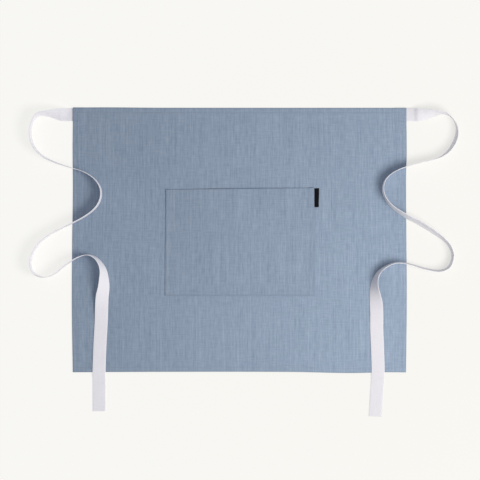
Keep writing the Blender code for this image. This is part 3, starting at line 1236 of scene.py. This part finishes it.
@dataclass
class SideTab:
    """The folded tab of black tape, caught in the pocket's right seam."""

    pocket: Pocket
    name: str = "tab_tape"
    length: float = TAB_LENGTH
    reach: float = 0.0097
    root: float = TAB_ROOT
    drop: float = TAB_DROP
    slant: float = TAB_SLANT
    thickness: float = 0.00050
    layer: float = 0.00072
    curl: float = 0.0004
    curl_start: float = 0.6
    fold_reach: float = 0.0012
    columns: int = 10
    rows: int = 24

    def build(self, material: bpy.types.Material) -> bpy.types.Object:
        """Fold the tape and lay it on the panel.

        Args:
            material: Its finish.

        Returns:
            The finished piece.
        """
        radius = self.layer / 2
        straight = self.root + self.reach - radius
        turn_steps = self.columns - 2
        path = [(straight * step / self.columns, self.layer) for step in range(self.columns)]
        path += [
            (
                straight + radius * math.sin(math.pi * step / turn_steps),
                radius + radius * math.cos(math.pi * step / turn_steps),
            )
            for step in range(turn_steps + 1)
        ]
        path += [(straight * (1.0 - step / self.columns), 0.0) for step in range(1, self.columns + 1)]
        travelled = [0.0]
        for before, after in zip(path, path[1:]):
            travelled.append(travelled[-1] + math.dist(before, after))
        seam = self.pocket.right_seam()
        panel = self.pocket.panel
        shape = bmesh.new()
        bmesh.ops.create_grid(shape, x_segments=len(path) - 1, y_segments=self.rows, size=0.5)
        weave = shape.loops.layers.uv.new(WEAVE_MAP)
        fold = shape.verts.layers.float.new(FOLD_SHARE)
        index = {vertex: round((vertex.co.x + 0.5) * (len(path) - 1)) for vertex in shape.verts}
        for face in shape.faces:
            for loop in face.loops:
                loop[weave].uv = (travelled[index[loop.vert]], (loop.vert.co.y + 0.5) * self.length)
        for vertex in shape.verts:
            out, up = path[index[vertex]]
            below = (0.5 - vertex.co.y) * self.length
            x = seam.x + out - self.root - self.slant * below / self.length
            y = seam.y - self.drop - below
            free = max(out - self.root, 0.0) / self.reach
            growing = self.curl_start + (1.0 - self.curl_start) * below / self.length
            lift = self.curl * free * free * growing
            base = panel.height_at(x, y) + REST + self.thickness / 2
            vertex[fold] = ease((out - self.root - self.reach + self.fold_reach) / self.fold_reach)
            vertex.co = (x, y, base + up + lift)
        piece = make_piece(self.name, shape, material)
        thicken(piece, self.thickness, self.thickness * EDGE_ROUNDING)
        return piece


class Station(NamedTuple):
    """A place along a tie: its lower edge in plan, its lean in degrees and its heading."""

    x: float
    y: float
    roll: float
    heading: Vector


@dataclass
class Tie:
    """One cotton tape, sewn under a top corner of the panel and laid out in loose bends.

    crease_at and crease_rise say where and how high the tape is creased as it leaves the panel.
    """

    name: str
    hand: Hand
    bends: tuple[Bend, ...]
    panel: Panel
    crease_at: float
    crease_rise: float
    length: float = 0.988
    width: float = TIE_WIDTH
    thickness: float = TIE_THICKNESS
    reach: float = 0.084
    climb: float = 0.012
    clear: float = 0.003
    hem_margin: float = 0.0015
    station_step: float = 0.0024
    strides: int = 4
    strips: int = 8
    waver_size: float = 0.00035
    waver_step: float = 0.045
    waver_slant: float = 0.4
    crease_reach: float = 0.0078
    crease_run: float = 0.0190
    turn_spread: float = 0.017

    def knots(self) -> list[tuple[float, float, float]]:
        """Place the lower edge's knots: its sewn end, its bends and a long straight tail.

        Returns:
            The x, y and roll of each knot.
        """
        edge = self.panel.width / 2
        top = self.panel.height / 2 - TIE_INSET
        side = self.hand.value
        sewn = top - self.width
        found = [(side * (edge - TIE_TUCK), sewn, 180.0), (side * edge, sewn, 180.0)]
        for bend in self.bends:
            out = edge + bend.out * self.reach
            found.append((side * out, top - bend.down * self.panel.height, bend.roll))
        last = Vector(found[-1][:2])
        heading = (last - Vector(found[-2][:2])).normalized()
        tail = last + heading * self.length
        return found + [(tail.x, tail.y, found[-1][2])]

    def stations(self) -> list[Station]:
        """Walk along the lower edge in even steps, with its roll and heading evened out.

        Returns:
            The stations from the sewn end to the free end.
        """
        knots = self.knots()
        places = [0.0]
        for before, after in zip(knots, knots[1:]):
            places.append(places[-1] + math.dist(before[:2], after[:2]))
        rows = [[(place, knot[index]) for place, knot in zip(places, knots)] for index in range(3)]
        count = math.ceil(self.length / self.station_step)
        spacing = self.length / count
        stride = spacing / self.strides
        found = [knots[0]]
        walked = 0.0
        place = 0.0
        point = knots[0]
        while len(found) <= count:
            place += stride
            ahead = tuple(curve_at(row, place) for row in rows)
            step = math.dist(point[:2], ahead[:2])
            while len(found) <= count and walked + step >= spacing * len(found):
                share = (spacing * len(found) - walked) / step
                found.append(tuple(a + (b - a) * share for a, b in zip(point, ahead)))
            walked += step
            point = ahead
        headings = [
            (Vector(found[min(i + 1, count)][:2]) - Vector(found[max(i - 1, 0)][:2])).normalized()
            for i in range(count + 1)
        ]
        spread = round(self.turn_spread / spacing)
        spans = [slice(max(i - spread, 0), i + spread + 1) for i in range(count + 1)]
        rolls = [sum(point[2] for point in found[span]) / len(found[span]) for span in spans]
        turns = [sum(headings[span], Vector((0.0, 0.0))).normalized() for span in spans]
        return [Station(*point[:2], roll, turn) for point, roll, turn in zip(found, rolls, turns)]

    def bed(self, x: float, y: float) -> float:
        """The height of what the tie rests on: the table, a hem or the cloth inside it.

        Args:
            x: The place along the waist edge, in the frame.
            y: The place across it.

        Returns:
            The height there.
        """
        panel = self.panel
        side = panel.width / 2 - abs(x)
        end = y + panel.height / 2
        inside = min(side, end)
        climb = ease((inside + self.clear + self.climb) / self.climb)
        past_hem = (inside - panel.left.width - self.hem_margin) / self.climb
        hem = panel.hem_rise * (1.0 - ease(past_hem))
        return (panel.face_top + hem + CLEARANCE) * climb

    def build(self, material: bpy.types.Material) -> bpy.types.Object:
        """Bend the tape along its stations.

        Args:
            material: Its finish.

        Returns:
            The finished piece.
        """
        stations = self.stations()
        count = len(stations) - 1
        side = self.hand.value
        shape = bmesh.new()
        bmesh.ops.create_grid(shape, x_segments=count, y_segments=self.strips, size=0.5)
        weave = shape.loops.layers.uv.new(WEAVE_MAP)
        for face in shape.faces:
            for loop in face.loops:
                co = loop.vert.co
                loop[weave].uv = ((co.x + 0.5) * self.length, (co.y + 0.5) * self.width)
        for vertex in shape.verts:
            share = vertex.co.x + 0.5
            along = share * self.length
            across = (vertex.co.y + 0.5) * self.width
            station = stations[round(share * count)]
            heading = station.heading.to_3d()
            inwards = Vector((side * heading.y, -side * heading.x, 0.0))
            lean = math.radians(min(max(station.roll, 0.0), 180.0))
            width = inwards * math.cos(lean) + Vector((0.0, 0.0, math.sin(lean)))
            face = heading.cross(width)
            free = along > TIE_TUCK + self.clear + self.climb
            bed = self.bed(station.x, station.y) if free else 0.0
            lying, standing = abs(math.cos(lean)), math.sin(lean)
            base = Vector((station.x, station.y, bed + self.thickness / 2 * lying))
            wander = self.waver_size * waver(along, across * self.waver_slant, self.waver_step, 31.0 + side)
            wander *= standing * across / self.width
            past = (along - self.crease_at) * side
            crease = ridge(past, self.crease_reach if past < 0.0 else self.crease_run)
            base.z += self.crease_rise * crease * lying
            vertex.co = base + width * across + face * wander
        piece = make_piece(self.name, shape, material)
        thicken(piece, self.thickness, self.thickness * EDGE_ROUNDING)
        return piece


@dataclass
class Stitching:
    """Rows of lockstitch, each stitch a short thread that dips into the cloth at both ends."""

    name: str
    pitch: float = 0.0030
    share: float = 0.80
    crest: float = 0.36
    gauge: float = 0.00044
    proud: float = 0.00008
    dip: float = 0.00030
    outwards: float = 1.0
    threads: list[list[Vector]] = field(default_factory=list)

    def sew(self, surface: Surface, start: tuple[float, float], end: tuple[float, float]) -> None:
        """Sew one straight row.

        Args:
            surface: Gives the place on the cloth of a point of its flat rectangle.
            start: Where the row begins on that rectangle.
            end: Where it ends.
        """
        begin, stop = Vector(start), Vector(end)
        stitches = max(round((stop - begin).length / self.pitch), 1)
        high = [(share, self.proud) for share in (-self.crest, 0.0, self.crest)]
        bends = [(-0.5, -self.dip), *high, (0.5, -self.dip)]
        for index in range(stitches):
            thread = []
            for share, lift in bends:
                place = begin.lerp(stop, (index + 0.5 + share * self.share) / stitches)
                thread.append(surface(*place) + Vector((0.0, 0.0, lift * self.outwards)))
            self.threads.append(thread)

    def build(self, material: bpy.types.Material) -> bpy.types.Object:
        """Give every stitch its round thread and hand them over as one piece.

        Args:
            material: The thread's finish.

        Returns:
            The finished piece.
        """
        path = bpy.data.curves.new(self.name, "CURVE")
        path.dimensions = "3D"
        path.bevel_depth = self.gauge / 2
        path.bevel_resolution = 1
        path.use_fill_caps = True
        for thread in self.threads:
            spline = path.splines.new("POLY")
            spline.points.add(len(thread) - 1)
            for point, place in zip(spline.points, thread):
                point.co = (*place, 1.0)
        strung = bpy.data.objects.new(self.name, path)
        mesh = bpy.data.meshes.new_from_object(strung)
        bpy.data.objects.remove(strung)
        shape = bmesh.new()
        shape.from_mesh(mesh)
        bpy.data.meshes.remove(mesh)
        return make_piece(self.name, shape, material)


class CornerBox(NamedTuple):
    """The stitched box that holds a tie: its sides' distances from the side edge, its ends' from the top."""

    inner: float
    outer: float
    first: float
    last: float


@dataclass
class Apron:
    """The whole apron: its cloths, its tapes and the thread that holds them together."""

    panel: Panel = field(default_factory=Panel)
    corner_box: CornerBox = CornerBox(0.0048, 0.0118, 0.0020, 0.0262)
    linen_deep: Colour = (0.192, 0.253, 0.351)
    linen_pale: Colour = (0.340, 0.419, 0.532)
    twill_white: Colour = (0.930, 0.918, 0.960)
    twill_shade: Colour = (0.700, 0.685, 0.745)
    thread_blue: Colour = (0.345, 0.405, 0.530)
    thread_shade: Colour = (0.200, 0.240, 0.345)
    tape_black: Colour = (0.0010, 0.0012, 0.0016)
    tape_worn: Colour = (0.008, 0.009, 0.011)

    def linen(self, name: str, seed: float, crease: float, wash: float) -> bpy.types.Material:
        """Dye the blue linen of a cloth, with painted shade along its folded edges.

        Args:
            name: The material's name.
            seed: Which streaks it has.
            crease: How much painted shade darkens its folded edges, as a share.
            wash: How pale it is, 1 for the full dye.

        Returns:
            The finished material.
        """
        deep = tuple(channel * wash for channel in self.linen_deep)
        pale = tuple(channel * wash for channel in self.linen_pale)
        return SlubLinen(name, deep, pale, seed, crease).material()

    def cotton(self, name: str, seed: float, painted_light_scale: float, tail_painted_shade: float) -> bpy.types.Material:
        """Whiten the twill of a tie, with painted light above a scale of 1, painted shade below it, and
        painted shade on its tail.

        Args:
            name: The material's name.
            seed: Which flecks it has.
            painted_light_scale: How white it is; above 1 it is painted light and below 1 painted shade, which
                offset the lamp's falloff across the apron.
            tail_painted_shade: How much painted shade greys its tail, as a share.

        Returns:
            The finished material.
        """
        # Painted light and shade: the twill's colours are scaled to offset the lamp's falloff.
        white = tuple(channel * painted_light_scale for channel in self.twill_white)
        shade = tuple(channel * painted_light_scale for channel in self.twill_shade)
        return CottonTape(name, white, shade, TIE_WIDTH, seed, tail_painted_shade=tail_painted_shade).material()

    def lay(self, piece: bpy.types.Object) -> bpy.types.Object:
        """Make a piece move with the apron and report it.

        Args:
            piece: The finished piece.

        Returns:
            The same piece.
        """
        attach(piece, "root")
        log.info("%s: %d points", piece.name, len(piece.data.vertices))
        return piece

    def panel_stitches(self) -> Stitching:
        """Sew the hem's rows on the face and the back, and the box that holds each tie.

        Returns:
            The stitches, ready to build.
        """
        panel = self.panel
        rows = Stitching("panel_stitches")
        near = panel.stitch_inset
        right, top = panel.width - near, panel.height - near
        for surface, outwards in ((panel.back_point, -1.0), (panel.top_point, 1.0)):
            rows.outwards = outwards
            rows.sew(surface, (near, near), (near, top))
            rows.sew(surface, (right, near), (right, top))
            rows.sew(surface, (near, near), (right, near))
            rows.sew(surface, (near, top), (right, top))
        box = self.corner_box
        low, high = panel.height - box.last, panel.height - box.first
        for inner, outer in ((box.inner, box.outer), (panel.width - box.inner, panel.width - box.outer)):
            rows.sew(panel.top_point, (inner, low), (inner, high))
            rows.sew(panel.top_point, (outer, low), (outer, high))
            rows.sew(panel.top_point, (inner, low), (outer, low))
        return rows

    def pocket_stitches(self, pocket: Pocket) -> Stitching:
        """Sew the row along the pocket's sides and bottom, and the row of its mouth hem.

        Args:
            pocket: The pocket that is sewn on.

        Returns:
            The stitches, ready to build.
        """
        rows = Stitching("pocket_stitches", pitch=0.0027, gauge=0.00038)
        near, right = pocket.edge_stitch, pocket.width - pocket.edge_stitch
        top = pocket.height - pocket.edge_stitch
        rows.sew(pocket.top_point, (near, near), (near, top))
        rows.sew(pocket.top_point, (right, near), (right, top))
        rows.sew(pocket.top_point, (near, near), (right, near))
        hem = pocket.height - pocket.hem_stitch
        rows.sew(pocket.top_point, (near, hem), (right, hem))
        return rows

    def build(self) -> None:
        thread = SewingThread("blue_thread", self.thread_blue, self.thread_shade).material()
        black = BlackTape("black_woven", self.tape_black, self.tape_worn).material()
        panel = self.panel
        pocket = Pocket(panel=panel)
        tab = SideTab(pocket)
        # The third number given to linen is the painted shade along each cloth's folded edges.
        panel_cloth = self.lay(panel.build(self.linen("panel_linen", 0.0, 0.40, 1.0)))
        pocket_cloth = self.lay(pocket.build(self.linen("pocket_linen", 50.0, 0.16, 0.962)))
        tab_tape = self.lay(tab.build(black))
        panel_rows = self.lay(self.panel_stitches().build(thread))
        pocket_rows = self.lay(self.pocket_stitches(pocket).build(thread))
        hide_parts("apron_panel")
        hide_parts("pocket")
        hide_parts("side_tab")
        panel.cut_size()
        pocket.cut_size()
        # The left twill is painted lighter and the right one darker, against the lamp's falloff, and the
        # right tail gets more painted shade.
        left_twill = self.cotton("left_twill", 0.0, 1.03, 0.08)
        right_twill = self.cotton("right_twill", 4.0, 0.88, 0.42)
        left = Tie("left_tie_tape", Hand.LEFT, LEFT_TIE, panel, crease_at=0.0441, crease_rise=0.0009)
        right = Tie("right_tie_tape", Hand.RIGHT, RIGHT_TIE, panel, crease_at=0.0424, crease_rise=0.0028)
        for node, tie, twill in (("left_tie", left, left_twill), ("right_tie", right, right_twill)):
            tape = self.lay(tie.build(twill))
            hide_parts(node)


@dataclass
class Studio:
    """The table the apron lies on, the soft light and the camera straight above."""

    eye: tuple[float, float, float] = (0.0012, -0.0003, 2.401)
    lens: float = 92.5
    sensor: float = 36.0
    clip: Pair = (0.05, 250.0)
    table_size: float = 150.0
    table_drop: float = 0.0004
    table_tone: Colour = (1.0, 0.991, 0.955)
    table_share: float = 0.30
    table_shine: float = 0.939
    key_direction: Pair = (-23.0, 52.0)
    key_distance: float = 1.28
    key_size: float = 0.64
    key_power: float = 11.2
    key_colour: Colour = (1.025, 0.992, 0.938)
    fill: float = 0.475
    fill_colour: Colour = (0.958, 0.985, 1.036)

    def camera(self) -> bpy.types.Object:
        """Hang the camera over the table.

        Returns:
            The camera.
        """
        data = bpy.data.cameras.new("overhead")
        data.lens = self.lens
        data.sensor_width = self.sensor
        data.clip_start, data.clip_end = self.clip
        made = bpy.data.objects.new("overhead", data)
        made.location = self.eye
        bpy.context.scene.collection.objects.link(made)
        bpy.context.scene.camera = made
        return made

    def lamp_place(self) -> Vector:
        """Work out where the soft lamp hangs.

        Returns:
            Its place in the frame.
        """
        around, up = (math.radians(angle) for angle in self.key_direction)
        direction = Vector((math.cos(up) * math.cos(around), math.cos(up) * math.sin(around), math.sin(up)))
        return direction * self.key_distance

    def glow(self, recipe: Recipe) -> Channel:
        """Work out what the table top adds to the light it throws back.

        Args:
            recipe: The table's material.

        Returns:
            As much as makes it look equally pale all over.
        """
        parts = recipe.node("ShaderNodeSeparateXYZ", None, {0: recipe.object_place()})
        x, y = Channel(recipe, parts.outputs[0]), Channel(recipe, parts.outputs[1])
        lamp = self.lamp_place()
        aim = lamp.normalized()
        squared = (lamp.x - x) ** 2.0 + (lamp.y - y) ** 2.0 + lamp.z**2
        facing = (lamp.x - x) * aim.x + (lamp.y - y) * aim.y + lamp.z * aim.z
        spread = squared * (squared + (self.key_size / 2) ** 2)
        lit = facing / spread * (self.key_power * lamp.z / math.pi**2)
        return self.table_shine - (lit + self.fill) * self.table_share

    def table(self) -> bpy.types.Object:
        """Spread a plain pale table top under the apron.

        Returns:
            The table top.
        """
        recipe = Recipe("pale_table")
        black = (0.0, 0.0, 0.0)
        material = recipe.finish(
            Base_Color=(*(channel * self.table_share for channel in self.table_tone), 1.0),
            Roughness=0.9,
            Specular_IOR_Level=0.0,
            Emission_Color=recipe.blend(self.glow(recipe), black, self.table_tone),
            Emission_Strength=1.0,
        )
        shape = bmesh.new()
        bmesh.ops.create_grid(shape, x_segments=4, y_segments=4, size=self.table_size / 2)
        bmesh.ops.translate(shape, verts=shape.verts, vec=(0.0, 0.0, -self.table_drop))
        made = make_piece("table_top", shape, material)
        return made

    def key_light(self) -> bpy.types.Object:
        """Hang a soft lamp to the lower right of the apron.

        Returns:
            The lamp.
        """
        data = bpy.data.lights.new("soft_key", "AREA")
        data.shape = "DISK"
        data.size = self.key_size
        data.energy = self.key_power
        data.color = self.key_colour
        made = bpy.data.objects.new("soft_key", data)
        made.location = self.lamp_place()
        made.rotation_euler = made.location.to_track_quat("Z", "Y").to_euler()
        made.visible_camera = False
        bpy.context.scene.collection.objects.link(made)
        return made

    def fill_light(self) -> bpy.types.World:
        """Surround the table with even, soft light.

        Returns:
            The world that gives it.
        """
        world = bpy.data.worlds.new("soft_fill")
        world.use_nodes = True
        background = world.node_tree.nodes["Background"]
        background.inputs["Color"].default_value = (*self.fill_colour, 1.0)
        background.inputs["Strength"].default_value = self.fill
        bpy.context.scene.world = world
        return world

    def build(self) -> None:
        """Set up the camera, the table and the light."""
        scene = bpy.context.scene
        scene.view_settings.view_transform = "Standard"
        scene.view_settings.look = "None"
        for made in (self.camera(), self.table(), self.key_light(), self.fill_light()):
            log.info("%s is ready", made.name)


def main() -> None:
    """Build the apron and the studio it is seen in."""
    logging.basicConfig(level=logging.INFO, format="%(name)s: %(message)s")
    Studio().build()
    Apron().build()


if __name__ == "__main__":
    main()
